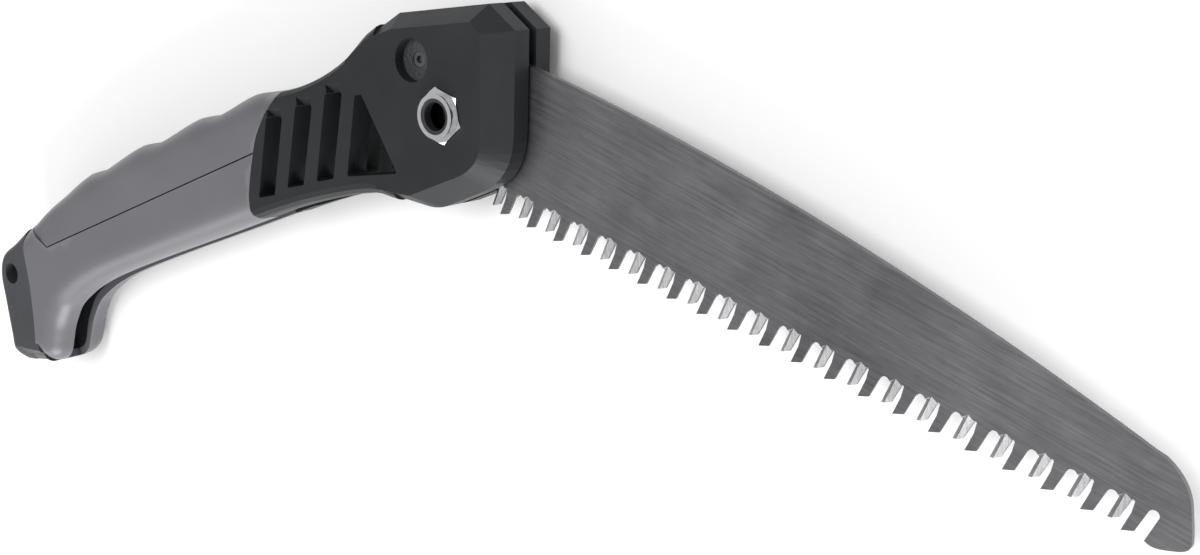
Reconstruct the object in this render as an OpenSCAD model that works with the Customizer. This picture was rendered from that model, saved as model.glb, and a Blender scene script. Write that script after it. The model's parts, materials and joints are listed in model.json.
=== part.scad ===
// Folding pruning saw, drawn open and lying on its bolt side.
// Origin: pivot axis on the resting plane. +X runs from handle to blade, +Z is the pivot axis.

/* [Blade] */
// Pivot axis to the toe of the blade
blade_reach = 205.5; // [160:0.5:260]
// Blade thickness
blade_t = 1.5; // [1:0.1:2.2]
// Pivot axis to the crown of the spine
spine_off = 19.9; // [18.5:0.1:21]
// Pivot axis to the tooth line, at the first plain tooth
tooth_off = 21.1; // [20:0.1:23]
// Radius of the long arc of the spine
spine_r = 870; // [600:10:1400]
// Angle between the tooth line and the blade's axis
tooth_taper = 3.54; // [2.5:0.05:4.2]
// Length of one pair of teeth, a plain one and a ground one
pair_pitch = 9.15; // [7:0.05:11]
// Depth of the gullets
gullet_depth = 7.4; // [5:0.1:8]
// Width of the land on each tooth
tooth_land = 2.6; // [1.8:0.1:3.2]
// How much shorter the ground teeth are
ground_drop = 1; // [0.4:0.1:2]
// Open blade's angle below the head's axis
open_angle = 27; // [20:1:32]
// Swing from open to folded
fold_angle = 138.5; // [132:0.5:139]

/* [Handle] */
// Thickness of handle and head
handle_t = 24; // [21:0.5:30]
// Pivot axis to the top of the head
head_top = 27.2; // [26.6:0.1:30]
// Pivot axis to the chin of the head
head_chin = 24.3; // [23.6:0.1:27]
// Pivot axis to the front corner of the head
head_front = 24; // [22.5:0.1:27]
// Depth of the head's broad bevels
bevel_depth = 5.2; // [2:0.1:6]
// Room left past the folded toe
toe_room = 10.5; // [9:0.5:16]
// Thickness of the grip shells over the core
grip_skin = 2.5; // [1.8:0.1:3.2]
// Radius of the grips' long edges
grip_round = 7; // [4:0.5:8]
// Step of each scallop on the palm pads
scallop_step = 1.4; // [0.5:0.1:2]
// How far the palm pads stand proud of the grips' edge
pad_proud = 0.5; // [0.2:0.1:1]
// Radius of the neck's long edges
neck_round = 3; // [1:0.5:4]
// How much thinner the pommel cap is on each side
cap_drop = 1.5; // [0.5:0.1:3]
// Radius of the lanyard hole
lanyard_r = 3.5; // [2.5:0.1:4]
// Wall left round the lanyard hole inside the channel
lanyard_wall = 1.8; // [1.2:0.1:2.2]
// Gap between the cheeks of the head
cheek_gap = 2.8; // [2.6:0.1:3.6]
// Width of the blade channel in the handle
channel_w = 6.6; // [5:0.1:8]
// Width of the hollow behind the windows of the neck
neck_hollow = 10; // [7:0.1:12]
// Room between the folded teeth and the channel's roof
tooth_room = 1.2; // [0.8:0.1:2]
// Width of the windows in the neck
window_w = 6.6; // [4:0.1:7.5]
// Height of the sloped ledge at the top of each window
window_ledge = 2.4; // [1:0.1:3]

/* [Pivot] */
// Radius of the sleeve the blade turns on
sleeve_r = 5; // [4.7:0.05:5.8]
// Radius of the pivot bolt's shank
bolt_r = 4; // [3:0.05:4.2]
// Nut, across its flats
nut_af = 13; // [10:0.1:14]
// Nut height, with its collar
nut_h = 7.4; // [6:0.1:9]
// How far the nut stands out of the head
nut_proud = 2; // [1.5:0.1:4]
// Turn of the nut and of its pocket
nut_turn = 33; // [0:1:60]
// How far the bolt stops short of the nut's rim
bolt_short = 3.8; // [1.6:0.1:5]
// Radius of the blade washers
washer_r = 9; // [7:0.1:10]
// Radial running clearance
running = 0.05; // [0.02:0.01:0.09]

/* [Lock] */
// Radius of the lock bolt's locking land
lock_r = 5.6; // [4.6:0.1:5.7]
// Radius of the lock bolt's waist
waist_r = 2.2; // [1.6:0.1:2.3]
// Sideways travel of the lock bolt
lock_travel = 3; // [2.6:0.1:4]
// Depth of the released button below the head's face
button_sink = 3; // [1:0.1:3.5]

/* [Hidden] */
$fn = 48;

charcoal = [0.19, 0.21, 0.22];
lilac_grey = [0.47, 0.47, 0.50];
steel = [0.62, 0.62, 0.64];
zinc = [0.80, 0.81, 0.83];

half_t = handle_t / 2;
half_gap = cheek_gap / 2;
half_channel = channel_w / 2;
far = 400;

// Blade lines, in the blade's own frame: pivot at the origin, axis along +X, teeth down
crown_x = 52;
first_tooth_x = 18;
toe_len = 13.6;
pairs = floor((blade_reach - toe_len - first_tooth_x) / pair_pitch + 0.02);
tang_r = 14;
function spine_y(x) = spine_off - spine_r + sqrt(spine_r * spine_r - pow(x - crown_x, 2));
function tooth_y(x) = (x - first_tooth_x) * tan(tooth_taper) - tooth_off;
function turn(p, a) = [p[0] * cos(a) - p[1] * sin(a), p[0] * sin(a) + p[1] * cos(a)];

// Lock bolt and stop pin centres, in the part's frame and in the blade's
lock_at = [-7.6, 14.7];
lock_open = turn(lock_at, open_angle);
lock_folded = turn(lock_at, open_angle + fold_angle);
stop_pin_r = 2;
stop_x = 9;
stop_at = turn([stop_x, spine_y(stop_x) + stop_pin_r + running], -open_angle);

// The outline is drawn for this reach, and its grip stretches along the folded blade
drawn_reach = 216;
neck_reach = 70;
toe_angle = 1.8;
fold_dir = -open_angle - toe_angle - fold_angle;
along = [cos(fold_dir), sin(fold_dir)];
grip_k = (blade_reach + toe_room - neck_reach) / (drawn_reach - neck_reach);
function stretch(p) = let (s = p * along)
    s < neck_reach ? p : p + along * (s - neck_reach) * (grip_k - 1);
function stretched(points) = [for (p = points) stretch(p)];

// A smooth curve through the inner points; the first and last only steer its ends
function bend(a, b, c, d, t) = (2 * b + (c - a) * t + (2 * a - 5 * b + 4 * c - d) * t * t
    + (3 * b - a - 3 * c + d) * t * t * t) / 2;
function smooth(p, n = 3) = [for (i = [1:len(p) - 3]) for (k = [0:n - 1])
    bend(p[i - 1], p[i], p[i + 1], p[i + 2], k / n), p[len(p) - 2]];
function arc(c, r, from, to, n = 6) = [for (i = [0:n])
    c + r * [cos(from + (to - from) * i / n), sin(from + (to - from) * i / n)]];

// A rounded corner from a to c, pulled towards b
function corner(a, b, c, n = 8) = [for (i = [0:n]) let (t = i / n)
    a * (1 - t) * (1 - t) + b * 2 * t * (1 - t) + c * t * t];

// Outline of the head, and of the flat face inside its bevels
head_edge = concat([[-14.5, head_top], [16.5, head_top - 0.8], [head_front, head_top - 8.2]],
    corner([head_front - 4.3, -6], [head_front - 6.3, -17.7], [head_front - 17.5, -20.5]),
    corner([-5.5, 0.8 - head_chin], [-9.5, -head_chin - 0.3], [-14.5, 1.3 - head_chin]),
    [[-27, -19.2], [-33, 17.3], [-24.3, 22.9]]);
head_face = concat([[-13.3, head_top - 4], [13.8, head_top - 4.8]],
    [[head_front - 7, head_top - 8.2]],
    corner([head_front - 11.2, -7], [head_front - 12.4, -13.8], [head_front - 20.5, -15.8]),
    [[-14.3, -20], [-26, -17.9], [-31.8, 16.6], [-23.4, 21.3]]);
neck_top = [[-14.5, 27], [-24.3, 22.9], [-33, 17.3], [-42.7, 13.5], [-54.4, 10.9],
    [-66.3, 9.9], [-72.4, 9.2], [-97, 4.3]];
grip_top = [[-66.3, 9.9], [-72.4, 9.2], [-97, 4.3], [-126, -2.2], [-155, -9.6], [-177, -17.2],
    [-191.3, -24.2], [-200.4, -29.2], [-208, -33]];
pommel = [[-211.8, -34.6], [-214.2, -39.8], [-212.8, -67.4], [-209.4, -71.2]];
underside = [[-209.4, -71.2], [-196, -71.2], [-188.6, -68.4], [-184.3, -59.6], [-178.3, -52.3],
    [-168.3, -46.8], [-152.1, -41.7], [-131.5, -36.9], [-105.7, -31.6], [-79.2, -25.8],
    [-64.4, -22.8], [-48.1, -20.4], [-29.5, -19.1], [-18, -21.5], [-8.5, -24]];
scallop_starts = [[-74.3, 9.1], [-100.1, 4.1], [-128.2, -1.8], [-157.7, -9.6], [-185, -20.6]];

module body_2d() {
    polygon(concat(smooth(stretched(neck_top)), smooth(stretched(grip_top)),
        stretched(pommel), smooth(stretched(underside)), [[-10, 0]]));
    polygon(head_edge);
}

// The palm pads' outline: four scales along the back, each swelling past its start and
// falling slowly to the next. It runs deeper than the pads do.
function scale_back(a, b) = let (up = turn((b - a) / norm(b - a), -90))
    [a, a + (b - a) * 0.12 + up * scallop_step * 0.8,
        a + (b - a) * 0.35 + up * (scallop_step + pad_proud),
        a + (b - a) * 0.7 + up * (scallop_step * 0.6 + pad_proud)];

module padded_2d() {
    starts = stretched(scallop_starts);
    polygon(concat(stretched([[-50, 11.6], [-66.3, 9.9]]),
        [for (i = [0:3]) each scale_back(starts[i], starts[i + 1])],
        stretched([[-185, -20.6], [-203, -30.6], [-200, -52], [-60, -30]])));
}

// Areas that divide the handle between its shells
neck_seam = [[-52, 22], [-60.5, 9.9], [-66.4, 4.6], [-71.2, -1.5], [-74.4, -8.6], [-76.9, -15.5],
    [-78.1, -20.6], [-77.6, -23.4], [-75.4, -25.7], [-70, -32]];

module grip_area() {
    polygon(stretched(concat([neck_seam[0]], smooth(neck_seam), [[-70, -32], [-188, -90],
        [-193.5, -73], [-196.4, -66.8], [-194.8, -55.6], [-194, -44.5], [-194.8, -28.6],
        [-194.8, -14]])));
}

module pad_area() {
    intersection() {
        grip_area();
        polygon(stretched([[-50, -0.5], [-180.9, -31.7], [-208.7, -13.3], [-200, 20], [-50, 30]]));
    }
}

module cap_area() {
    polygon(stretched([[-194.8, -14], [-194.8, -28.6], [-194, -44.5], [-194.8, -55.6],
        [-196.4, -66.8], [-193.5, -73], [-193.5, -90], [-235, -90], [-235, -14]]));
}

module neck_area() {
    difference() {
        translate([-far, -far / 2]) square([far - 20, far]);
        grip_area();
        cap_area();
    }
}

// Room that the folded blade needs, below the line of its folded teeth
module folded_area(room) {
    intersection() {
        circle(blade_reach + room * 0.7, $fn = 180);
        rotate(-open_angle - fold_angle) translate([-5, 0])
            polygon([[0, far], [0, tooth_y(-5) - room], [far, tooth_y(far) - room], [far, far]]);
    }
}

// Room that the swinging blade needs in the head
module swing_area() {
    difference() {
        translate([-26, -60]) square([110, 100]);
        translate([-40, head_top - 6.2]) square([48, 20]);
    }
}

// Three leaning windows, each by the top and bottom of its front edge, and a triangle
windows = [[-59.3, 3.3, -66.7, -18.2], [-46.7, 5.7, -54.2, -15.8], [-34.4, 8.3, -42, -14.5]];

module windows_2d() {
    for (w = windows)
        offset(0.6) offset(-0.6)
            polygon([[w[0], w[1]], [w[2], w[3]], [w[2] - window_w - 0.3, w[3] - 0.6],
                [w[0] - window_w, w[1] + 0.3]]);
    offset(0.6) offset(-0.6)
        polygon([[-29.7, 7.4], [-36.6, -14.1], [-17.6, -14.1], [-27.3, 7.4]]);
}

// A ledge that slopes from the face down into the top of each window
module window_ledges() {
    ledge_depth = 3.4;
    for (w = windows)
        translate([w[0] - 0.5, w[1], half_t]) rotate(177.4) rotate([90, 0, 90])
            linear_extrude(window_w - 1)
                polygon([[-window_ledge, 0], [-window_ledge, 1], [1, 1], [1, -ledge_depth],
                    [0.2, -ledge_depth]]);
}

// An outline raised to height h with its outer edge rounded by r
module rounded(h, r) {
    minkowski() {
        linear_extrude(h - r) offset(r = -r, $fn = 24) children();
        rotate_extrude($fn = 16) intersection() {
            circle(r, $fn = 12);
            square(r);
        }
    }
}

// The stretch of an outline that one area needs, with a margin for its rounded edge
module stretch_of(margin) {
    intersection() {
        children(0);
        offset(delta = margin) children(1);
    }
}

module nut_side() { translate([0, 0, half_t]) children(); }
module bolt_side() { translate([0, 0, half_t]) mirror([0, 0, 1]) children(); }

// One half of the dark core, from the middle plane outwards
module core_half() {
    difference() {
        union() {
            hull() {
                linear_extrude(half_t - bevel_depth) polygon(head_edge);
                linear_extrude(half_t) polygon(head_face);
            }
            intersection() {
                rounded(half_t, neck_round) stretch_of(neck_round + 2) {
                    body_2d();
                    neck_area();
                }
                linear_extrude(far) neck_area();
            }
            linear_extrude(half_t - grip_skin - 0.5) intersection() {
                offset(delta = -grip_skin) body_2d();
                difference() {
                    translate([-far, -far / 2]) square([far - 55, far]);
                    cap_area();
                }
            }
        }
        translate([0, 0, -1]) linear_extrude(half_gap + 1) swing_area();
        translate([0, 0, -1]) linear_extrude(half_channel + 1) difference() {
            folded_area(tooth_room);
            translate([hollow_to, -far / 2]) square(far);
        }
        translate([0, 0, -1]) linear_extrude(neck_hollow / 2 + 1) intersection() {
            folded_area(tooth_room + 0.8);
            translate([hollow_from, -far / 2]) square([hollow_to - 1 - hollow_from, far]);
        }
        translate([0, 0, -1]) linear_extrude(far) windows_2d();
        window_ledges();
        translate([0, 0, -1]) cylinder(r = bolt_r + 0.1, h = far);
        translate([0, 0, -1]) cylinder(r = sleeve_r + slip, h = sleeve_seat + 1);
        translate([lock_at[0], lock_at[1], -1]) cylinder(r = lock_r + running, h = far);
        translate([stop_at[0], stop_at[1], -1]) cylinder(r = stop_pin_r + slip, h = stop_seat + 1);
    }
}

hollow_from = -68;
hollow_to = -22;
slip = 0.05;
sleeve_seat = half_gap + 2.6;
stop_seat = half_gap + 4;
screw_r = 1.5;
screw_head_r = 2.8;
screw_head_h = 2.2;
screw_seat = half_t - grip_skin - 0.7 - screw_head_h;
screws_at = stretched([[-80, 1.9], [-125, -10.3], [-168, -22.5]]);
screw_end = half_t - 5;

module at_screws() { for (p = screws_at) translate([p[0], p[1], 0]) children(); }

// Screw holes: a clearance hole and a head recess on the bolt side, a pilot on the other.
// The palm pads cover them.
module screw_clearance() {
    at_screws() {
        translate([0, 0, -1]) cylinder(r = screw_r + 0.2, h = far);
        translate([0, 0, screw_seat]) cylinder(r = screw_head_r + 0.3, h = far);
    }
}

module screw_pilot() { at_screws() translate([0, 0, -1]) cylinder(r = screw_r, h = screw_end + 1); }

nut_base = half_t + nut_proud - nut_h;
bolt_head_r = 6.5;
bolt_head_h = 3.2;
bolt_head_sink = 0.4;
bolt_washer_r = 7.4;
bolt_washer_t = 1.2;

module handle_shell_nut_side() {
    color(charcoal) nut_side() difference() {
        core_half();
        translate([0, 0, nut_base]) rotate(nut_turn)
            cylinder(d = (nut_af + 0.2) / cos(30), h = far, $fn = 6);
        screw_pilot();
    }
}

module handle_shell_bolt_side() {
    color(charcoal) bolt_side() difference() {
        core_half();
        translate([0, 0, half_t - bolt_head_sink - bolt_head_h - bolt_washer_t])
            cylinder(r = bolt_washer_r + 0.2, h = far);
        screw_clearance();
    }
}

// Grey skin over one half of the core, kept as one smooth moulding
module skin_half() {
    resize([0, 0, 0]) difference() {
        children();
        translate([0, 0, -1]) linear_extrude(half_t - grip_skin - 0.5 + 1)
            offset(delta = -grip_skin) body_2d();
        translate([0, 0, -1]) linear_extrude(half_channel + 1) folded_area(tooth_room);
    }
}

module grip_half() {
    skin_half() intersection() {
        rounded(half_t, grip_round) stretch_of(grip_round + 2) {
            body_2d();
            grip_area();
        }
        linear_extrude(far) difference() {
            grip_area();
            pad_area();
        }
    }
}

module pad_half() {
    skin_half() intersection() {
        rounded(half_t, grip_round) stretch_of(grip_round + 2) {
            padded_2d();
            pad_area();
        }
        linear_extrude(far) pad_area();
    }
}

module grip_shell_nut_side() { color(lilac_grey) nut_side() grip_half(); }
module grip_shell_bolt_side() { color(lilac_grey) bolt_side() grip_half(); }
module palm_pad_nut_side() { color(lilac_grey) nut_side() pad_half(); }
module palm_pad_bolt_side() { color(lilac_grey) bolt_side() pad_half(); }

cap_half = half_t - cap_drop;
lanyard_at = stretch([-205.7, -40.5]);

module pommel_cap() {
    color([0.28, 0.29, 0.31]) difference() {
        union() {
            nut_side() cap_side();
            bolt_side() cap_side();
        }
        translate([0, 0, half_t - half_channel]) linear_extrude(channel_w) difference() {
            folded_area(tooth_room);
            translate(lanyard_at) circle(lanyard_r + lanyard_wall);
        }
        translate([lanyard_at[0], lanyard_at[1], -1]) cylinder(r = lanyard_r, h = far);
    }
}

module cap_side() {
    intersection() {
        rounded(cap_half, 3) stretch_of(5) {
            body_2d();
            cap_area();
        }
        linear_extrude(far) cap_area();
    }
}

// The cuts of one pair of teeth, drawn along the tooth line with the gullets upwards
function wide_gap(d, w) = concat([[-0.2, -1], [0, 0], [w, w * 0.42], [w + 1.15, d - 1.3]],
    arc([w + 2.5, d - 1.3], 1.3, 170, 10));
function ground_gap(d, w) = concat([[w * 2.12, ground_drop], [w * 3, ground_drop + w * 0.42]],
    arc([pair_pitch + 0.3, d - 0.45], 0.45, 170, 10),
    [[pair_pitch + 0.8, d * 0.62], [pair_pitch, 0], [pair_pitch, -1]]);

function slice(p, from) = [for (i = [from:len(p) - 1]) p[i]];

module teeth_2d() {
    wide = wide_gap(gullet_depth, tooth_land);
    ground = ground_gap(gullet_depth, tooth_land);
    translate([first_tooth_x, -tooth_off]) rotate(tooth_taper) {
        translate([-pair_pitch, 0])
            polygon(concat([[-6, -2], [-6, gullet_depth]], slice(wide, 7), ground));
        for (i = [0:pairs - 1])
            translate([i * pair_pitch, 0]) polygon(concat(wide, ground));
        translate([pairs * pair_pitch, 0]) polygon(concat(wide, [[tooth_land * 1.9, -1]]));
    }
}

module blade_2d() {
    toe_y = tooth_y(blade_reach);
    spine = [for (i = [0:24]) let (x = -5 + (blade_reach - 2.5) * i / 24) [x, spine_y(x)]];
    toe = [[blade_reach - 4.2, toe_y + 13.1], [blade_reach, toe_y + 4.6],
        [blade_reach - 0.2, toe_y + 2.2], [blade_reach - 5.5, toe_y - 0.6],
        [blade_reach - 9, toe_y - 0.8]];
    heel = [[first_tooth_x - 4, tooth_y(first_tooth_x - 4) - 0.4], [11.5, -19.2], [9, -10],
        [0, 0], [-9, 14]];
    difference() {
        union() {
            offset(1.2) offset(-1.2) polygon(concat(spine, toe, heel));
            circle(tang_r, $fn = 96);
        }
        circle(sleeve_r + running);
        translate(lock_open) circle(lock_r + 0.1);
        translate(lock_folded) circle(lock_r + 0.1);
        teeth_2d();
    }
}

module blade() {
    color(steel) translate([0, 0, half_t - blade_t / 2]) rotate(-open_angle)
        linear_extrude(blade_t) blade_2d();
}

// Pivot: a shouldered sleeve between the cheeks, clamped by the bolt and the nut
module pivot_sleeve() {
    color(steel) translate([0, 0, half_t - sleeve_seat]) difference() {
        cylinder(r = sleeve_r, h = 2 * sleeve_seat);
        translate([0, 0, -1]) cylinder(r = bolt_r + 0.1, h = far);
    }
}

washer_t = half_gap - blade_t / 2 - 0.05;

module blade_washer() {
    translate([0, 0, half_gap - washer_t]) difference() {
        cylinder(r = washer_r, h = washer_t);
        translate([0, 0, -1]) cylinder(r = sleeve_r + 0.02, h = far);
    }
}

module blade_washer_nut_side() { color("peru") nut_side() blade_washer(); }
module blade_washer_bolt_side() { color("peru") bolt_side() blade_washer(); }

module pivot_bolt() {
    shank_end = handle_t + nut_proud - bolt_short;
    color(zinc) difference() {
        union() {
            translate([0, 0, bolt_head_sink]) cylinder(r = bolt_head_r, h = bolt_head_h);
            translate([0, 0, bolt_head_sink]) cylinder(r = bolt_r, h = shank_end - bolt_head_sink);
        }
        translate([0, 0, -1]) cylinder(r = 2.9, h = 3.2, $fn = 6);
    }
}

module bolt_washer() {
    color(zinc) translate([0, 0, bolt_head_sink + bolt_head_h]) difference() {
        cylinder(r = bolt_washer_r, h = bolt_washer_t);
        translate([0, 0, -1]) cylinder(r = bolt_r + 0.1, h = far);
    }
}

collar_h = 1.6;
collar_r = nut_af / 2 - 0.7;
insert_h = 2.4;
insert_r = collar_r - 1.15;

module pivot_nut() {
    color(zinc) nut_side() translate([0, 0, nut_base]) difference() {
        union() {
            intersection() {
                rotate(nut_turn) cylinder(d = nut_af / cos(30), h = nut_h - collar_h, $fn = 6);
                cylinder(r1 = nut_af / 2 + 9, r2 = nut_af / 2 + 0.3, h = nut_h - collar_h);
            }
            cylinder(r = collar_r, h = nut_h);
        }
        translate([0, 0, -1]) cylinder(r = bolt_r, h = far);
        translate([0, 0, nut_h - insert_h - 0.3]) cylinder(r = insert_r, h = far);
    }
}

module nut_insert() {
    color([0.1, 0.1, 0.12]) nut_side() translate([0, 0, nut_base + nut_h - insert_h - 0.3])
        difference() {
            cylinder(r = insert_r, h = insert_h);
            translate([0, 0, -1]) cylinder(r = bolt_r - 0.3, h = far);
        }
}

// Cross-bolt lock, drawn released: its waist stands in the blade's plane
land_top = half_t - blade_t / 2 - 0.3;
land_base = 0.8;
waist_top = half_t + blade_t / 2 + 0.5;
button_top = handle_t - button_sink;
spigot_r = 3;
groove_z = 4.6;
ring_r = 0.9;

module lock_bolt() {
    color(steel) translate([lock_at[0], lock_at[1], 0]) difference() {
        union() {
            translate([0, 0, land_base]) cylinder(r = lock_r, h = land_top - land_base);
            translate([0, 0, land_top - 1]) cylinder(r = waist_r, h = waist_top - land_top + 2);
            translate([0, 0, waist_top]) cylinder(r = spigot_r, h = 4);
        }
        translate([0, 0, groove_z]) rotate_extrude()
            translate([lock_r - 2 * ring_r, -ring_r]) square([2 * ring_r + 1, 2 * ring_r]);
        translate([0, 0, waist_top + 1]) cylinder(r = 1, h = far);
    }
}

module lock_button() {
    color([0.24, 0.25, 0.27]) translate([lock_at[0], lock_at[1], 0]) difference() {
        translate([0, 0, waist_top]) cylinder(r = lock_r, h = button_top - waist_top);
        translate([0, 0, waist_top - 1]) cylinder(r = spigot_r, h = 5);
        translate([0, 0, waist_top + 3]) cylinder(r = 1.1, h = far);
        translate([0, 0, button_top - 1.4]) cylinder(r = 2.1, h = far);
    }
}

module lock_screw() {
    color(steel) translate([lock_at[0], lock_at[1], 0]) difference() {
        union() {
            translate([0, 0, waist_top + 1]) cylinder(r = 1, h = button_top - 1.4 - waist_top - 1);
            translate([0, 0, button_top - 1.4]) cylinder(r = 2, h = 1.2);
        }
        translate([0, 0, button_top - 0.9]) cylinder(r = 1.1, h = far, $fn = 6);
    }
}

module lock_o_ring() {
    color([0.08, 0.08, 0.08]) translate([lock_at[0], lock_at[1], groove_z]) rotate_extrude()
        translate([lock_r - ring_r, 0]) circle(ring_r, $fn = 24);
}

module stop_pin() {
    color(steel) translate([stop_at[0], stop_at[1], half_t - stop_seat])
        cylinder(r = stop_pin_r, h = 2 * stop_seat);
}

module handle_screws() {
    color(zinc) bolt_side() at_screws() difference() {
        union() {
            translate([0, 0, -screw_end]) cylinder(r = screw_r, h = screw_end + screw_seat);
            translate([0, 0, screw_seat]) cylinder(r = screw_head_r, h = screw_head_h);
        }
        translate([0, 0, screw_seat + 1]) cylinder(r = 1.4, h = far, $fn = 6);
    }
}

handle_shell_nut_side();
handle_shell_bolt_side();
grip_shell_nut_side();
grip_shell_bolt_side();
palm_pad_nut_side();
palm_pad_bolt_side();
pommel_cap();
blade();
pivot_bolt();
bolt_washer();
pivot_sleeve();
blade_washer_nut_side();
blade_washer_bolt_side();
pivot_nut();
nut_insert();
lock_bolt();
lock_button();
lock_screw();
lock_o_ring();
stop_pin();
handle_screws();
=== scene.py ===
import json
import math
import bmesh
import bpy
from mathutils import Matrix, Vector


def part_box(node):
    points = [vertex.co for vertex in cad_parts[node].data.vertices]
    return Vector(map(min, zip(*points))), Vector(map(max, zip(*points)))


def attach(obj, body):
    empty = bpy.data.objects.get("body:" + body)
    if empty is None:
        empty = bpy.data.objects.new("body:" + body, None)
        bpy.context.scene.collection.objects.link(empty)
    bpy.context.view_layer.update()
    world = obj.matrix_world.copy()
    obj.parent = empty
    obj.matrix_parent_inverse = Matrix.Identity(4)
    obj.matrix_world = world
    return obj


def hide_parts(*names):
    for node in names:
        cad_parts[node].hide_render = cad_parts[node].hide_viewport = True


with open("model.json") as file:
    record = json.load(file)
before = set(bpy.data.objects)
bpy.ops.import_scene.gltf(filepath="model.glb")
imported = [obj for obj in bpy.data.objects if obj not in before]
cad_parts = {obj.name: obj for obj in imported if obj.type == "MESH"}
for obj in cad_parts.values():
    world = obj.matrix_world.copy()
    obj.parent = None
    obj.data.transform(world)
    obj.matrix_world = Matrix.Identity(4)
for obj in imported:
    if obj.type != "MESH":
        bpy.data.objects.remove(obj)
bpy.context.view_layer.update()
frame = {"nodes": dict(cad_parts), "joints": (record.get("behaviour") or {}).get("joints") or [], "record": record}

# Lengths in this script are millimetres, in the CAD model's frame, until a mesh is made.
MM = 0.001
HALF_T = 500 * (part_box("handle_shell_nut_side")[1][2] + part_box("handle_shell_bolt_side")[0][2])
FACE_Z = 1000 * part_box("grip_shell_nut_side")[1][2] - HALF_T
CAP_Z = 1000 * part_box("pommel_cap")[1][2] - HALF_T
BLADE_T = 1000 * (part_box("blade")[1][2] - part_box("blade")[0][2])
OPEN_ANGLE = math.radians(27)
FOLD_ANGLE = math.radians(138.5)


# ---------------------------------------------------------------- materials

def node_adder(tree):
    """A helper that adds a node to tree, sets or links its inputs and sets its properties."""
    def add(kind, inputs=None, **settings):
        node = tree.nodes.new(kind)
        for key, value in settings.items():
            setattr(node, key, value)
        for key, value in (inputs or {}).items():
            if isinstance(value, bpy.types.NodeSocket):
                tree.links.new(value, node.inputs[key])
            else:
                node.inputs[key].default_value = value
        return node

    return add


def node_material(name):
    """A new material, with its node tree, its shader and a helper that adds a node."""
    mat = bpy.data.materials.new(name)
    mat.use_nodes = True
    tree = mat.node_tree
    return mat, tree, tree.nodes["Principled BSDF"], node_adder(tree)


def two_colours(add, factor, dark, light, low, high):
    """A colour that goes from dark to light as factor goes from low to high."""
    tint = add("ShaderNodeValToRGB", {"Fac": factor})
    for element, place, colour in zip(tint.color_ramp.elements, (low, high), (dark, light)):
        element.position = place
        element.color = (*colour, 1)
    return tint.outputs["Color"]


def streak_vector(add, angle, stretch):
    """Object coordinates turned by angle about Z and squeezed, so that noise draws out into streaks."""
    coord = add("ShaderNodeTexCoord")
    turn = add("ShaderNodeMapping", {"Vector": coord.outputs["Object"], "Rotation": (0, 0, angle)})
    return add("ShaderNodeMapping", {"Vector": turn.outputs[0], "Scale": stretch}).outputs[0]


def plastic(name, dark, light, rough, grain=0.06, grain_scale=1500, mottle=45, spec=0.5):
    """Moulded polymer: cloudy colour, a fine sparked texture, and sharply turning edges a little lighter."""
    mat, tree, shader, add = node_material(name)
    place = add("ShaderNodeTexCoord").outputs["Object"]
    cloud = add("ShaderNodeTexNoise", {"Vector": place, "Scale": mottle, "Detail": 4, "Roughness": 0.6})
    tint = two_colours(add, cloud.outputs["Fac"], dark, light, 0.35, 0.68)
    # convex edges, found by pointiness, are mixed towards a lighter grey
    edge = add("ShaderNodeNewGeometry").outputs["Pointiness"]
    edge_lift = add("ShaderNodeMapRange", {"Value": edge, "From Min": 0.52, "From Max": 0.62, "To Max": 0.35})
    edge_lightened = add("ShaderNodeMixRGB", {"Fac": edge_lift.outputs[0], "Color1": tint,
                                    "Color2": (*[1.5 * c for c in light], 1)})
    tree.links.new(edge_lightened.outputs[0], shader.inputs["Base Color"])
    smear = add("ShaderNodeTexNoise", {"Vector": place, "Scale": mottle * 3, "Detail": 3})
    gloss = add("ShaderNodeMapRange", {"Value": smear.outputs["Fac"], "To Min": rough - 0.06,
                                       "To Max": rough + 0.07})
    tree.links.new(gloss.outputs[0], shader.inputs["Roughness"])
    fine = add("ShaderNodeTexNoise", {"Vector": place, "Scale": grain_scale, "Detail": 2})
    bump = add("ShaderNodeBump", {"Strength": grain, "Distance": 0.0004, "Height": fine.outputs["Fac"]})
    tree.links.new(bump.outputs[0], shader.inputs["Normal"])
    shader.inputs["Specular IOR Level"].default_value = spec
    return mat


def metal(name, dark, light, rough, angle=0.0, stretch=(60, 1600, 400), bump_strength=0.05):
    """Metal with brushing or turning marks along one direction, and faint stains."""
    mat, tree, shader, add = node_material(name)
    vector = streak_vector(add, angle, stretch)
    streak = add("ShaderNodeTexNoise", {"Vector": vector, "Scale": 1, "Detail": 6, "Roughness": 0.65})
    place = add("ShaderNodeTexCoord").outputs["Object"]
    cloud = add("ShaderNodeTexNoise", {"Vector": place, "Scale": 38, "Detail": 5, "Roughness": 0.6})
    both = add("ShaderNodeMath", {0: streak.outputs["Fac"], 1: cloud.outputs["Fac"]}, operation="ADD")
    half = add("ShaderNodeMath", {0: both.outputs[0], 1: 0.5}, operation="MULTIPLY")
    tint = two_colours(add, half.outputs[0], dark, light, 0.36, 0.64)
    tree.links.new(tint, shader.inputs["Base Color"])
    gloss = add("ShaderNodeMapRange", {"Value": half.outputs[0], "From Min": 0.3, "From Max": 0.7,
                                       "To Min": rough - 0.07, "To Max": rough + 0.07})
    tree.links.new(gloss.outputs[0], shader.inputs["Roughness"])
    bump = add("ShaderNodeBump", {"Strength": bump_strength, "Distance": 0.0002,
                                  "Height": streak.outputs["Fac"]})
    tree.links.new(bump.outputs[0], shader.inputs["Normal"])
    shader.inputs["Metallic"].default_value = 1.0
    return mat


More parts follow.
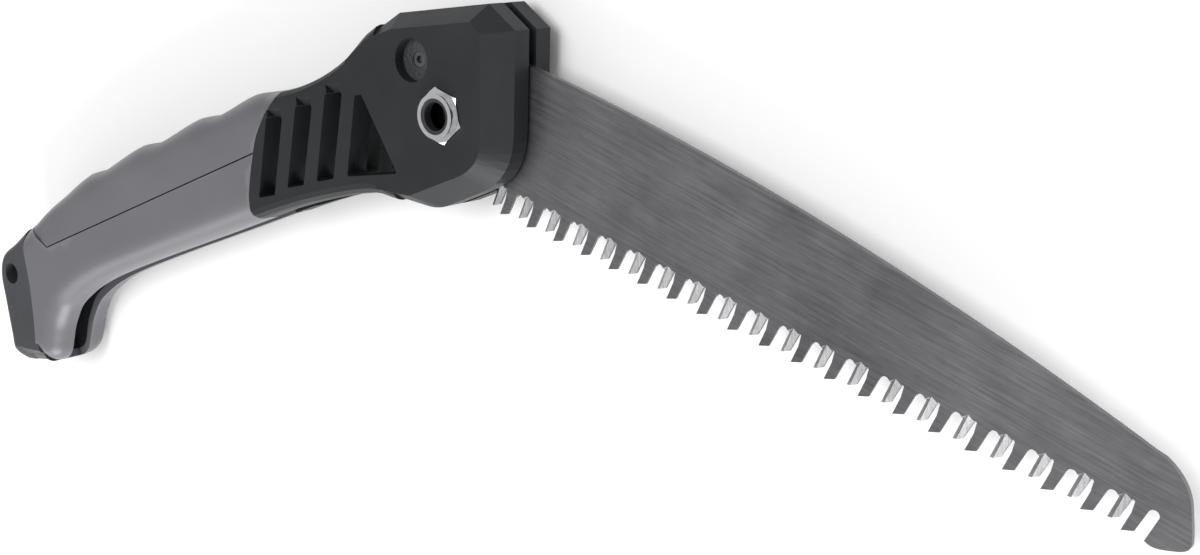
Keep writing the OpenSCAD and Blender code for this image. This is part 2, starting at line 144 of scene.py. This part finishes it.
def paint_bore_shade(mat, radius):
    """Painted shade in the bore: the metal within radius of the pivot's axis is coloured near black."""
    tree = mat.node_tree
    add = node_adder(tree)
    base = tree.nodes["Principled BSDF"].inputs["Base Color"]
    metal_colour = base.links[0].from_socket
    place = add("ShaderNodeTexCoord").outputs["Object"]
    flat = add("ShaderNodeVectorMath", {0: place, 1: (1, 1, 0)}, operation="MULTIPLY")
    distance = add("ShaderNodeVectorMath", {0: flat.outputs[0]}, operation="LENGTH")
    outside_bore_shade = add("ShaderNodeMapRange", {"Value": distance.outputs["Value"], "From Min": radius * MM,
                                         "From Max": (radius + 0.1) * MM})
    # painted shade: near black inside the bore, the metal's own colour outside it
    bore_shade_mix = add("ShaderNodeMixRGB", {"Fac": outside_bore_shade.outputs[0], "Color1": (0.012, 0.012, 0.013, 1),
                                   "Color2": metal_colour})
    tree.links.new(bore_shade_mix.outputs[0], base)


CORE = plastic("core_charcoal", (0.011, 0.013, 0.014), (0.015, 0.017, 0.019), 0.48, grain=0.10,
               spec=0.28)
GRIP = plastic("grip_grey", (0.110, 0.110, 0.122), (0.122, 0.122, 0.134), 0.36, grain=0.04,
               mottle=20, spec=0.42)
CAP = plastic("cap_charcoal", (0.036, 0.039, 0.043), (0.044, 0.047, 0.052), 0.45, spec=0.35)
BUTTON = plastic("button_charcoal", (0.030, 0.031, 0.034), (0.050, 0.051, 0.055), 0.36,
                 grain=0.8, grain_scale=1100)
NYLON = plastic("nylon_black", (0.012, 0.012, 0.014), (0.022, 0.022, 0.025), 0.35)
RUBBER = plastic("black_rubber", (0.010, 0.010, 0.010), (0.018, 0.018, 0.018), 0.6)
STEEL = metal("blade_steel", (0.125, 0.125, 0.132), (0.215, 0.215, 0.226), 0.42, angle=OPEN_ANGLE,
              bump_strength=0.10)
GROUND = metal("ground_steel", (0.24, 0.24, 0.245), (0.46, 0.46, 0.47), 0.36,
               angle=OPEN_ANGLE + math.radians(75), stretch=(120, 2600, 400), bump_strength=0.12)
ZINC = metal("zinc_plate", (0.66, 0.67, 0.69), (0.88, 0.89, 0.91), 0.11, stretch=(500, 500, 900))
# the nut's bore gets painted shade
paint_bore_shade(ZINC, 4.2)
TURNED = metal("turned_steel", (0.10, 0.10, 0.105), (0.20, 0.20, 0.21), 0.24, stretch=(90, 90, 2500))
BRONZE = metal("bronze", (0.42, 0.27, 0.13), (0.60, 0.40, 0.22), 0.34, stretch=(300, 300, 300))

SLOT_MATERIALS = {"core_charcoal": CORE, "grip_grey": GRIP, "cap_charcoal": CAP,
                  "button_charcoal": BUTTON, "nylon_black": NYLON, "black_rubber": RUBBER,
                  "blade_steel": STEEL, "zinc_plate": ZINC, "turned_steel": TURNED, "bronze": BRONZE}


# ---------------------------------------------------------------- CAD nodes that show as they are

def dress_cad_nodes():
    """Every CAD node takes its slot's material."""
    for part in frame["record"]["subparts"]:
        obj = frame["nodes"][part["node"]]
        obj.data.materials.clear()
        obj.data.materials.append(SLOT_MATERIALS[part["material_slot"]])


def round_edges(obj, width, segments, angle):
    """Bevels every edge that turns by more than angle degrees."""
    edge = obj.modifiers.new("edge_radius", "BEVEL")
    edge.width = width * MM
    edge.segments = segments
    edge.limit_method = "ANGLE"
    edge.angle_limit = math.radians(angle)
    edge.harden_normals = True


def soften(node, width):
    """Rounds a CAD node's own edges, once its flat facets are merged."""
    obj = frame["nodes"][node]
    merge = obj.modifiers.new("merge_flats", "DECIMATE")
    merge.decimate_type = "DISSOLVE"
    merge.angle_limit = math.radians(1.5)
    round_edges(obj, width, segments=3, angle=28)


# ---------------------------------------------------------------- meshes

def new_object(name, points, faces):
    """A mesh object from points in millimetres, z counted up from the resting plane."""
    mesh = bpy.data.meshes.new(name)
    mesh.from_pydata([tuple(c * MM for c in p) for p in points], [], faces)
    obj = bpy.data.objects.new(name, mesh)
    bpy.context.scene.collection.objects.link(obj)
    work = bmesh.new()
    work.from_mesh(mesh)
    bmesh.ops.remove_doubles(work, verts=work.verts, dist=0.002 * MM)
    bmesh.ops.recalc_face_normals(work, faces=work.faces)
    work.to_mesh(mesh)
    work.free()
    return obj


def prism(outline, low, high):
    """A closed prism over a 2D outline, between two heights above the middle plane."""
    n = len(outline)
    points = [(x, y, HALF_T + z) for z in (low, high) for x, y in outline]
    sides = [(i, (i + 1) % n, n + (i + 1) % n, n + i) for i in range(n)]
    return new_object("tool", points, [tuple(range(n)), tuple(range(n, 2 * n)), *sides])


def cut(obj, tool, operation="DIFFERENCE"):
    """Applies an exact boolean and removes the tool."""
    step = obj.modifiers.new("cut", "BOOLEAN")
    step.object = tool
    step.operation = operation
    step.solver = "EXACT"
    bpy.context.view_layer.update()
    result = obj.evaluated_get(bpy.context.evaluated_depsgraph_get())
    mesh = bpy.data.meshes.new_from_object(result)
    obj.modifiers.clear()
    old = obj.data
    obj.data = mesh
    bpy.data.meshes.remove(old)
    bpy.data.objects.remove(tool)


def mirror_mesh(obj, name):
    """A copy of a nut-side piece, mirrored to the bolt side of the middle plane."""
    copy = bpy.data.objects.new(name, obj.data.copy())
    bpy.context.scene.collection.objects.link(copy)
    work = bmesh.new()
    work.from_mesh(copy.data)
    for v in work.verts:
        v.co.z = 2 * HALF_T * MM - v.co.z
    bmesh.ops.reverse_faces(work, faces=work.faces)
    work.to_mesh(copy.data)
    work.free()
    return copy


def finish_piece(obj, name, body, node, slot, radius, angle=40):
    """Names a piece and dresses it with its slot's material, rounds its sharp edges, hangs it on its body and
    hides the CAD node that it stands in for.
    """
    obj.name = name
    obj.data.name = name
    obj.data.materials.clear()
    obj.data.materials.append(SLOT_MATERIALS[slot])
    for face in obj.data.polygons:
        face.use_smooth = True
    obj.data.set_sharp_from_angle(angle=math.radians(angle))
    round_edges(obj, radius, 2, angle)
    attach(obj, body)
    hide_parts(node)


def spline(points, n):
    """A smooth curve through 2D points, n steps to each stretch."""
    p = [Vector(q) for q in points]
    p = [2 * p[0] - p[1], *p, 2 * p[-1] - p[-2]]
    curve = []
    for i in range(1, len(p) - 2):
        a, b, c, d = p[i - 1:i + 3]
        for k in range(n):
            t = k / n
            curve.append((2 * b + (c - a) * t + (2 * a - 5 * b + 4 * c - d) * t ** 2
                          + (3 * b - a - 3 * c + d) * t ** 3) / 2)
    return curve + [p[-2]]


def normals(curve, side):
    """Unit normals of a curve, on its left (side 1) or its right (side -1)."""
    out = []
    for i in range(len(curve)):
        along = (curve[min(i + 1, len(curve) - 1)] - curve[max(i - 1, 0)]).normalized()
        out.append(Vector((-along.y, along.x)) * side)
    return out


def shrink(outline, gap):
    """A closed 2D outline moved inwards by gap, for the line that shows between two mouldings."""
    n = len(outline)
    area = sum(outline[i][0] * outline[(i + 1) % n][1] - outline[(i + 1) % n][0] * outline[i][1]
               for i in range(n))
    turn = 1 if area > 0 else -1
    out = []
    for i in range(n):
        a, b, c = (Vector(outline[(i + k) % n]) for k in (-1, 0, 1))
        u, v = (b - a).normalized(), (c - b).normalized()
        nu, nv = Vector((-u.y, u.x)) * turn, Vector((-v.y, v.x)) * turn
        middle = (nu + nv).normalized()
        out.append(tuple(b + middle * gap / max(0.35, middle.dot(nu))))
    return out


# ---------------------------------------------------------------- blade dimensions

PAIR = 9.15             # from one plain tooth to the next
PAIRS = 19
DEPTH = 7.4             # of the gullets
LAND = 2.6              # width of a tooth's foot
FOOT_RISE = 0.42 * LAND
DROP = 1.0              # how much shorter the ground teeth are
GRIND = 0.52            # share of the thickness ground away
FIRST_X = 18
TOOTH_LINE = 21.1
TAPER = math.radians(3.54)
REACH = 205.5           # pivot to toe
TANG_R = 14
SPINE_R = 870
SPINE_TOP = (52, 19.9)
TOE = [(196.6, -9.9), (198.2, -10.2), (200.1, -9.8), (202.9, -8.5), (204.5, -7.5), (205.3, -6.2),
       (204.9, -4.4), (203.1, -0.4), (201.4, 2.9), (199.2, 5.4), (196.2, 7.4), (193.4, 8.5)]
PIVOT_BORE_R = 5.05
LOCK_NOTCH_R = 5.7
FLAT = (BLADE_T / 2, -BLADE_T / 2)


# ---------------------------------------------------------------- grips, palm pads and pommel cap

# Back and belly of the handle, in pairs from the neck to the foot of the pommel
BACK = [(-54.4, 10.9), (-66.3, 9.9), (-72.4, 9.2), (-97, 4.3), (-126, -2.2), (-150, -8.2),
        (-177, -17.2), (-191.3, -24.2), (-203, -30.2), (-210.8, -34), (-214, -40.5), (-213.8, -50),
        (-213.3, -60), (-212.7, -67), (-208.6, -71.2)]
BELLY = [(-48.1, -20.4), (-64.4, -22.8), (-72, -24.3), (-98, -29.9), (-128, -36.2), (-152.1, -41.7),
         (-165, -45.6), (-172.5, -48.9), (-178.3, -52.3), (-182, -56.4), (-184.3, -59.6),
         (-186.2, -63.4), (-188.6, -68), (-192.4, -70.6), (-198, -71.2)]
NECK_SEAM = [(-52, 22), (-60.5, 9.9), (-66.4, 4.6), (-71.2, -1.5), (-74.4, -8.6), (-76.9, -15.5),
             (-78.1, -20.6), (-77.6, -23.4), (-75.4, -25.7), (-70, -32)]
CAP_SEAM = [(-194.8, -28.6), (-194, -44.5), (-194.8, -55.6), (-196.4, -66.8), (-193.5, -73)]
GROOVE = [(-73.2, -6), (-180.9, -31.7)]
PAD_END = (-194.8, -22.5)
SEAM_GAP = 0.2
GRIP_SKIN = 2.5
CORE_DEPTH = GRIP_SKIN + 0.5
CORE_ROUND = 0.6
GRIP_ROUND = 7
CAP_ROUND = 3.5
DIPS = [-69, -94.1, -123.3, -151.7, -177.1]
SCALLOP = 1.5
SCALLOP_RISE = 0.24     # share of a scale over which it rises
PILLOW = 0.7
HALF_GAP = 0.06         # from the middle plane to either side's joint face
END_ROUND = 5.0
CHANNEL = 3.3           # half of the blade channel's width
TOOTH_ROOM = 1.2
TOE_ROOM = 0.8
LANYARD_WALL = 1.8
PAST = 2                # how far a cutter runs past what it cuts


def scallop(x):
    """Height of the pad's scales above its back: a quick rise after each dip, then a long fall."""
    for start, end in zip(DIPS, DIPS[1:]):
        if end < x <= start:
            t = (start - x) / (start - end)
            if t < SCALLOP_RISE:
                return SCALLOP * math.sin(math.pi / 2 * t / SCALLOP_RISE)
            fall = (t - SCALLOP_RISE) / (1 - SCALLOP_RISE)
            return SCALLOP * (0.5 + 0.5 * math.cos(math.pi * fall))
    return 0.0


def handle_block(name, top, radius, inset=0.0, scales=False):
    """Half of the handle as one closed form, from the middle plane to its flat face at height top.

    Its section runs from the back round the long edge, over the face, and round to the belly."""
    steps, arc_steps, flat_steps = 7, 8, 8
    back, belly = spline(BACK, steps), spline(BELLY, steps)
    up, down = normals(back, -1), normals(belly, 1)
    last = (back[-1] + belly[-1]) / 2
    lowest = HALF_GAP + 0.1
    rings = []
    for t, b, nt, nb in zip(back, belly, up, down):
        t, b = t - nt * inset, b - nb * inset
        height = scallop(t.x) if scales else 0.0
        reach = ((t + b) / 2 - last).length
        end_round = min(radius, END_ROUND)
        drop = end_round - math.sqrt(max(0, end_round ** 2 - max(0, end_round - reach) ** 2))
        roof = top - drop
        edge = min(radius, 0.42 * (t - b).length)
        pillow = PILLOW * (height / SCALLOP - 1) if scales else 0.0
        ring = [(t + nt * height, HALF_GAP)]
        for k in range(arc_steps + 1):
            a = math.pi / 2 * k / arc_steps
            ring.append((t - nt * edge * (1 - math.cos(a)) + nt * height * math.cos(a) ** 2,
                         max(lowest, roof - edge + edge * math.sin(a) + pillow * math.sin(a) ** 2)))
        start, stop = ring[-1][0], b - nb * edge
        ring += [(start.lerp(stop, k / flat_steps), roof + pillow * max(0, 1 - 3 * k / flat_steps) ** 2)
                 for k in range(1, flat_steps)]
        for k in range(arc_steps, -1, -1):
            a = math.pi / 2 * k / arc_steps
            ring.append((b - nb * edge * (1 - math.cos(a)),
                         max(lowest, roof - edge + edge * math.sin(a))))
        ring.append((b, HALF_GAP))
        rings.append([(p.x, p.y, HALF_T + z) for p, z in ring])
    n = len(rings[0])
    points = [p for ring in rings for p in ring]
    faces = [(i * n + k, i * n + (k + 1) % n, (i + 1) * n + (k + 1) % n, (i + 1) * n + k)
             for i in range(len(rings) - 1) for k in range(n)]
    faces += [tuple(range(n)), tuple(range(len(points) - n, len(points)))]
    return new_object(name, points, faces)


def channel():
    """Outline of the room that the folded blade and its teeth take up in the handle."""
    reach, back, far = REACH + TOE_ROOM, -5, 190
    under_heel = (back - FIRST_X) * math.tan(TAPER) - TOOTH_LINE - TOOTH_ROOM
    arc = [(reach * math.cos(a), reach * math.sin(a))
           for a in (math.radians(-2.95 + 2.5 * k) for k in range(20))]
    outline = [(back, under_heel), *arc, (reach * 0.72, far), (back, far)]
    turn = Matrix.Rotation(-OPEN_ANGLE - FOLD_ANGLE, 2)
    return [tuple(turn @ Vector(p)) for p in outline]


def disc(centre, radius):
    count = 64
    return [(centre[0] + radius * math.cos(2 * math.pi * k / count),
             centre[1] + radius * math.sin(2 * math.pi * k / count)) for k in range(count)]


def skin_piece(name, area, scales):
    """One grey moulding over the core: its area of the handle, hollowed for the core and channel."""
    obj = handle_block(name, FACE_Z, GRIP_ROUND, scales=scales)
    cut(obj, prism(shrink(area, SEAM_GAP), -PAST, FACE_Z + PAST), "INTERSECT")
    cut(obj, handle_block("core_room", FACE_Z - CORE_DEPTH, CORE_ROUND, inset=GRIP_SKIN))
    cut(obj, prism(channel(), -PAST, CHANNEL))
    return obj


def split_seam():
    """The neck's seam above and below the groove's line, and the point where they meet."""
    a, b = (Vector(p) for p in GROOVE)
    curve = [tuple(p) for p in spline(NECK_SEAM, 3)]
    over = [(Vector(p) - a).cross(b - a) > 0 for p in curve]
    i = over.index(over[-1])
    p, q = Vector(curve[i - 1]), Vector(curve[i])
    share = (p - a).cross(b - a) / ((p - a).cross(b - a) - (q - a).cross(b - a))
    return curve[:i], curve[i:], tuple(p.lerp(q, share))


def build_grips():
    above, below, meet = split_seam()
    pad_area = [*above, meet, GROOVE[1], PAD_END, (-194.8, -14)]
    grip_area = [meet, *below, (-188, -90), *reversed(CAP_SEAM), PAD_END, GROOVE[1]]
    for label, area, scales in (("palm_pad", pad_area, True), ("grip_shell", grip_area, False)):
        near = skin_piece(label, area, scales)
        far = mirror_mesh(near, label + "_far")
        for piece, side in ((near, "nut_side"), (far, "bolt_side")):
            finish_piece(piece, f"{label}_moulding_{side}", "handle", f"{label}_{side}", "grip_grey",
                         radius=0.45)


def build_cap():
    """The dark pommel cap: both halves as one piece, with the lanyard hole through it."""
    mount = next(m for m in frame["record"]["mounts"] if m["name"] == "lanyard_hole")
    centre = (mount["pos_m"][0] / MM, mount["pos_m"][1] / MM)
    hole = mount["dims"]["r_mm"]
    area = [(-194.8, -14), *CAP_SEAM, (-193.5, -90), (-235, -90), (-235, -14)]
    near = handle_block("pommel", CAP_Z, CAP_ROUND)
    cut(near, prism(shrink(area, SEAM_GAP * 1.5), -PAST, CAP_Z + PAST), "INTERSECT")
    room = prism(channel(), -PAST, CHANNEL)
    cut(room, prism(disc(centre, hole + LANYARD_WALL), -2 * PAST, CHANNEL + PAST))
    cut(near, room)
    cut(near, prism(disc(centre, hole), -2 * PAST, CAP_Z + PAST))
    far = mirror_mesh(near, "pommel_far")
    joined = bmesh.new()
    joined.from_mesh(near.data)
    joined.from_mesh(far.data)
    joined.to_mesh(near.data)
    joined.free()
    bpy.data.objects.remove(far)
    finish_piece(near, "pommel_cap_moulding", "handle", "pommel_cap", "cap_charcoal", radius=0.5)


# ---------------------------------------------------------------- blade

def spine_y(x):
    """Height of the spine, a wide arc with its top at SPINE_TOP."""
    return SPINE_TOP[1] - SPINE_R + math.sqrt(SPINE_R ** 2 - (x - SPINE_TOP[0]) ** 2)


def on_line(u, h):
    """A point of the tooth line's own frame, in the blade's frame."""
    c, s = math.cos(TAPER), math.sin(TAPER)
    return (FIRST_X + u * c - h * s, -TOOTH_LINE + u * s + h * c)


def gullet(u, r):
    """The round bottom of a gullet of radius r, centred u along the tooth line."""
    start, end, steps = 170, 10, 6
    return [(u + r * math.cos(a), DEPTH - r + r * math.sin(a))
            for a in (math.radians(start + (end - start) * k / steps) for k in range(steps + 1))]


class BladeMesh:
    """Walks round the blade's outline, and collects its two faces and its edge as it goes."""

    def __init__(self):
        self.points, self.faces, self.ground = [], [], []
        self.loops = ([], [])
        self.rim, self.lands = [], {}
        self.run_out = None

    def add(self, p, z):
        self.points.append((*p, z))
        return len(self.points) - 1

    def corner(self, p, ground=None):
        """A corner of the outline; ground is the face, if any, that is ground away there."""
        pair = [self.add(p, FLAT[side] * (1 - 2 * GRIND if side == ground else 1)) for side in (0, 1)]
        for side in (0, 1):
            if side != ground:
                self.loops[side].append(pair[side])
        if self.run_out and ground is None:
            side, last, ridge = self.run_out
            self.ground.append((last, pair[side], ridge))
            self.run_out = None
        self.rim.append(pair)
        return pair

    def tooth(self, side, wall_a, foot_a, foot_b, wall_b, ridge_top):
        """A tooth ground to a ridge down its middle on one face: 0 is the near one, 1 the far one."""
        start = self.loops[side][-1]
        ridge = self.add(ridge_top, FLAT[side])
        self.loops[side].append(ridge)
        a1, a0 = (self.corner(p, side)[side] for p in (wall_a, foot_a))
        foot = self.add([(s + t) / 2 for s, t in zip(foot_a, foot_b)], FLAT[side])
        self.lands[len(self.rim) - 1] = (side, foot)
        b0, b1 = (self.corner(p, side)[side] for p in (foot_b, wall_b))
        self.ground += [(start, a1, ridge), (a1, a0, foot, ridge), (foot, b0, b1, ridge)]
        self.run_out = (side, b1, ridge)

    def close(self):
        """Adds the edge between the two faces, and the faces themselves."""
        for i, (near, far) in enumerate(self.rim):
            next_near, next_far = self.rim[(i + 1) % len(self.rim)]
            wall = [near, far, next_far, next_near]
            if i in self.lands:
                side, foot = self.lands[i]
                wall.insert(4 if side == 0 else 2, foot)
            self.faces.append(tuple(wall))
        self.faces += [tuple(self.loops[0]), tuple(self.loops[1])]


def plain_tooth(mesh, u):
    mesh.tooth(1, on_line(u + 0.8, DEPTH * 0.62), on_line(u, 0), on_line(u + LAND, FOOT_RISE),
               on_line(u + LAND + 1.15, DEPTH - 1.3), on_line(u + 2.1, DEPTH + 0.3))


def ground_tooth(mesh, u, wall_a, wall_b):
    mesh.tooth(0, wall_a, on_line(u + LAND * 2.12, DROP), on_line(u + LAND * 3, DROP + FOOT_RISE),
               wall_b, on_line(u + 7.55, DEPTH + 0.55))


def walk_outline(mesh):
    """Goes once round the blade: the tang, the teeth, the toe and the spine."""
    for k in range(22):
        a = math.radians(138 + 162 * k / 23)
        mesh.corner((TANG_R * math.cos(a), TANG_R * math.sin(a)))
    narrow = gullet(0.3, 0.45)
    wide = gullet(LAND + 2.5, 1.3)
    for p in wide[3:-1]:
        mesh.corner(on_line(p[0] - PAIR, p[1]))
    for i in range(-1, PAIRS):
        u = i * PAIR
        if i >= 0:
            plain_tooth(mesh, u)
            for p in wide[:-1]:
                mesh.corner(on_line(u + p[0], p[1]))
        ground_tooth(mesh, u, on_line(u + wide[-1][0], wide[-1][1]),
                     on_line(u + PAIR + narrow[0][0], narrow[0][1]))
        for p in narrow[1:]:
            mesh.corner(on_line(u + PAIR + p[0], p[1]))
    plain_tooth(mesh, PAIRS * PAIR)
    for p in wide:
        mesh.corner(on_line(PAIRS * PAIR + p[0], p[1]))
    for p in spline(TOE, 4):
        mesh.corner(tuple(p))
    spine_start, spine_end, spine_steps = -5, 191, 60
    for k in range(spine_steps + 1):
        x = spine_end + (spine_start - spine_end) * k / spine_steps
        mesh.corner((x, spine_y(x)))
    mesh.close()


def lock_in_blade(angle):
    """The lock bolt's centre in the blade's frame, with the blade turned by angle."""
    slide = next(j for j in frame["joints"] if j["name"] == "lock_slide")
    place = Vector(slide["pos_m"][:2]) / MM
    return tuple(Matrix.Rotation(angle, 2) @ place)


def build_blade():
    mesh = BladeMesh()
    walk_outline(mesh)
    turn = Matrix.Rotation(-OPEN_ANGLE, 3, "Z")
    points = [turn @ Vector(p) + Vector((0, 0, HALF_T)) for p in mesh.points]
    obj = new_object("saw_blade", points, mesh.faces + mesh.ground)
    obj.data.materials.append(STEEL)
    obj.data.materials.append(GROUND)
    for face in obj.data.polygons:
        face.material_index = 0 if face.index < len(mesh.faces) else 1
    holes = [((0, 0), PIVOT_BORE_R), (lock_in_blade(OPEN_ANGLE), LOCK_NOTCH_R),
             (lock_in_blade(OPEN_ANGLE + FOLD_ANGLE), LOCK_NOTCH_R)]
    for centre, radius in holes:
        cut(obj, prism(disc(turn @ Vector((*centre, 0)), radius), -PAST, PAST))
    obj.name = obj.data.name = "saw_blade"
    for face in obj.data.polygons:
        face.use_smooth = True
    obj.data.set_sharp_from_angle(angle=math.radians(18))
    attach(obj, "blade")
    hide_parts("blade")


# ---------------------------------------------------------------- stage, light and camera

CAMERA_PLACE = (294.37, 13.25, 332.8)
CAMERA_RIGHT = (0.7842, -0.1086, -0.6109)
CAMERA_FORWARD = (-0.6205, -0.1372, -0.7721)


def camera():
    """The photograph's viewing angle, through a 50 mm lens on a 36 mm sensor, with no blur."""
    right, forward = Vector(CAMERA_RIGHT).normalized(), Vector(CAMERA_FORWARD).normalized()
    up = right.cross(forward).normalized()
    right = forward.cross(up).normalized()
    data = bpy.data.cameras.new("camera")
    data.lens = 50
    data.sensor_width = 36
    data.clip_start = 0.01
    obj = bpy.data.objects.new("camera", data)
    bpy.context.scene.collection.objects.link(obj)
    axes = Matrix((right, up, -forward)).transposed()
    obj.matrix_world = Matrix.Translation(Vector(CAMERA_PLACE) * MM) @ axes.to_4x4()
    bpy.context.scene.camera = obj


def softbox(name, place, size, power):
    """A square area light at place, in metres, that faces the pivot."""
    data = bpy.data.lights.new(name, "AREA")
    data.shape = "SQUARE"
    data.size = size
    data.energy = power
    obj = bpy.data.objects.new(name, data)
    bpy.context.scene.collection.objects.link(obj)
    obj.location = place
    obj.rotation_euler = (-Vector(place)).to_track_quat("-Z", "Y").to_euler()


def floor():
    """A plain white floor, 8 m square."""
    mesh = bpy.data.meshes.new("floor")
    reach = 4.0
    mesh.from_pydata([(-reach, -reach, 0), (reach, -reach, 0), (reach, reach, 0), (-reach, reach, 0)],
                     [], [(0, 1, 2, 3)])
    obj = bpy.data.objects.new("floor", mesh)
    bpy.context.scene.collection.objects.link(obj)
    mat, tree, shader, add = node_material("floor_white")
    shader.inputs["Base Color"].default_value = (0.92, 0.92, 0.92, 1)
    shader.inputs["Roughness"].default_value = 0.9
    shader.inputs["Specular IOR Level"].default_value = 0.1
    obj.data.materials.append(mat)


def lights():
    """An even white studio, and three soft lights."""
    world = bpy.data.worlds.new("studio")
    world.use_nodes = True
    background = world.node_tree.nodes["Background"]
    background.inputs["Color"].default_value = (1, 1, 1, 1)
    background.inputs["Strength"].default_value = 0.54
    bpy.context.scene.world = world
    softbox("top_light", (0.22, 0.40, 1.5), size=0.9, power=15)
    softbox("low_light", (0.05, -1.35, 0.45), size=0.8, power=21)
    softbox("side_light", (-0.9, -1.0, 0.5), size=0.6, power=3)


# ---------------------------------------------------------------- build

dress_cad_nodes()
build_grips()
build_cap()
build_blade()
for node, width in (("handle_shell_nut_side", 0.45), ("handle_shell_bolt_side", 0.45),
                    ("pivot_nut", 0.34), ("lock_button", 0.3)):
    soften(node, width)
camera()
floor()
lights()
bpy.context.scene.view_settings.view_transform = "Standard"
